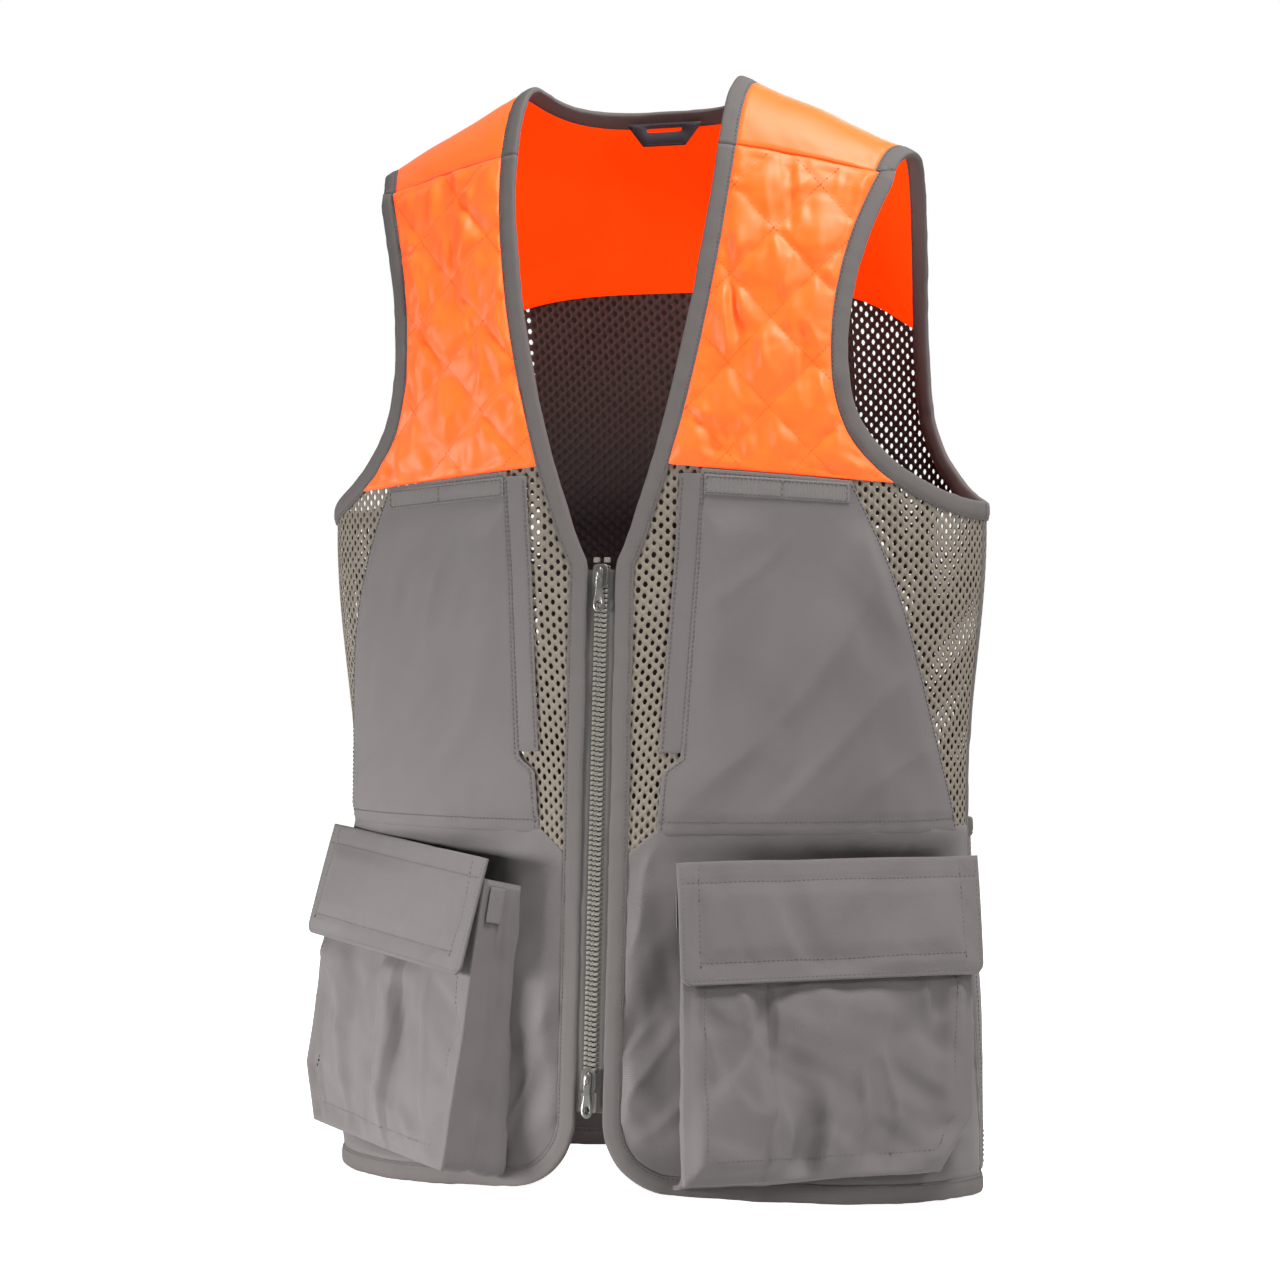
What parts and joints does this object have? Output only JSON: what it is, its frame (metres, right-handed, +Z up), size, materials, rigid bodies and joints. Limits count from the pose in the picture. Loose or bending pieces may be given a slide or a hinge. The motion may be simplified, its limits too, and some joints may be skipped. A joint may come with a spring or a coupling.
{
  "type": "shooting vest",
  "caption": "Sleeveless blaze orange and grey field vest with mesh body, quilted shoulder patches, flapped cargo pockets, rear game pouch and two-way front zip.",
  "frame": {"origin": "level with the hem, midway between the sides and midway from the pocket fronts to the back of the game pouch", "axes": "+Z up, the wearer faces -Y, +X is the wearer's left"},
  "size_m": [0.4738, 0.2912, 0.7054],
  "materials": {
    "blaze_fabric": "fluorescent polyester with a soft sheen",
    "grey_fabric": "matt twill",
    "mesh_fabric": "open knitted mesh",
    "binding_fabric": "folded twill tape",
    "webbing": "flat woven band",
    "hook_loop": "hook and loop tape",
    "zip_tape": "matt woven tape",
    "zip_teeth": "moulded, satin",
    "slider_metal": "satin gunmetal enamel",
    "label_fabric": "smooth woven label"
  },
  "bodies": {
    "back_body": {"back_yoke": "blaze_fabric", "back_mesh": "mesh_fabric", "back_lower_panel": "grey_fabric", "game_pouch": "grey_fabric", "game_pouch_binding": "binding_fabric", "back_neck_binding": "binding_fabric", "back_hem_binding": "binding_fabric", "left_back_armhole_binding": "binding_fabric", "right_back_armhole_binding": "binding_fabric"},
    "hanger_label": {"hanger_label": "label_fabric"},
    "left_front": {"left_shoulder_patch": "blaze_fabric", "left_front_mesh": "mesh_fabric", "left_chest_panel": "grey_fabric", "left_chest_pocket_facing": "grey_fabric", "left_chest_band": "webbing", "left_lower_front_panel": "grey_fabric", "left_front_edge_binding": "binding_fabric", "left_front_armhole_binding": "binding_fabric", "left_pocket_face": "grey_fabric", "left_pocket_gusset": "grey_fabric", "left_pocket_loop_tape": "hook_loop", "left_pocket_side_tab": "webbing", "left_zip_tape": "zip_tape", "left_zip_teeth": "zip_teeth", "left_zip_top_stop": "slider_metal", "left_zip_pin": "slider_metal"},
    "right_front": {"right_shoulder_patch": "blaze_fabric", "right_front_mesh": "mesh_fabric", "right_chest_panel": "grey_fabric", "right_chest_pocket_facing": "grey_fabric", "right_chest_band": "webbing", "right_lower_front_panel": "grey_fabric", "right_front_edge_binding": "binding_fabric", "right_front_armhole_binding": "binding_fabric", "right_pocket_face": "grey_fabric", "right_pocket_gusset": "grey_fabric", "right_pocket_loop_tape": "hook_loop", "right_pocket_side_tab": "webbing", "right_zip_tape": "zip_tape", "right_zip_teeth": "zip_teeth", "right_zip_top_stop": "slider_metal", "right_zip_pin": "slider_metal"},
    "left_flap": {"left_flap": "grey_fabric", "left_flap_hook_tape": "hook_loop"},
    "right_flap": {"right_flap": "grey_fabric", "right_flap_hook_tape": "hook_loop"},
    "upper_slider": {"upper_slider": "slider_metal"},
    "upper_pull": {"upper_slider_pull": "slider_metal"},
    "lower_slider": {"lower_slider": "slider_metal"},
    "lower_pull": {"lower_slider_pull": "slider_metal"}
  },
  "joints": [
    {"name": "left_front_open", "type": "hinge", "parent": "back_body", "child": "left_front", "pos_m": [0.2205, 0.0221, 0], "axis": [0, 0, 1], "range_deg": [0, 50], "deforming": ["left_zip_teeth", "right_zip_teeth", "left_zip_tape", "right_zip_tape"]},
    {"name": "right_front_open", "type": "hinge", "parent": "back_body", "child": "right_front", "pos_m": [-0.2205, 0.0221, 0], "axis": [0, 0, -1], "range_deg": [0, 50], "deforming": ["left_zip_teeth", "right_zip_teeth", "left_zip_tape", "right_zip_tape"]},
    {"name": "left_flap_lift", "type": "hinge", "parent": "left_front", "child": "left_flap", "pos_m": [0.14252, -0.05817, 0.21291], "axis": [-0.788, -0.6157, 0], "range_deg": [0, 130]},
    {"name": "right_flap_lift", "type": "hinge", "parent": "right_front", "child": "right_flap", "pos_m": [-0.14252, -0.05817, 0.21291], "axis": [-0.788, 0.6157, 0], "range_deg": [0, 130]},
    {"name": "upper_slider_travel", "type": "slide", "parent": "right_front", "child": "upper_slider", "axis": [0, -0.0748, -0.9972], "range_m": [0, 0.18], "deforming": ["left_zip_teeth", "right_zip_teeth", "left_zip_tape", "right_zip_tape"]},
    {"name": "lower_slider_travel", "type": "slide", "parent": "right_front", "child": "lower_slider", "axis": [0, 0.0748, 0.9972], "range_m": [0, 0.08], "deforming": ["left_zip_teeth", "right_zip_teeth", "left_zip_tape", "right_zip_tape"]},
    {"name": "upper_pull_swing", "type": "hinge", "parent": "upper_slider", "child": "upper_pull", "pos_m": [0, -0.09259, 0.39061], "axis": [-1, 0, 0], "range_deg": [0, 110]},
    {"name": "lower_pull_swing", "type": "hinge", "parent": "lower_slider", "child": "lower_pull", "pos_m": [0, -0.11569, 0.08261], "axis": [-1, 0, 0], "range_deg": [0, 110]},
    {"name": "hanger_label_swing", "type": "hinge", "parent": "back_body", "child": "hanger_label", "pos_m": [0, 0.0395, 0.6855], "axis": [-1, 0, 0], "range_deg": [0, 70]}
  ]
}
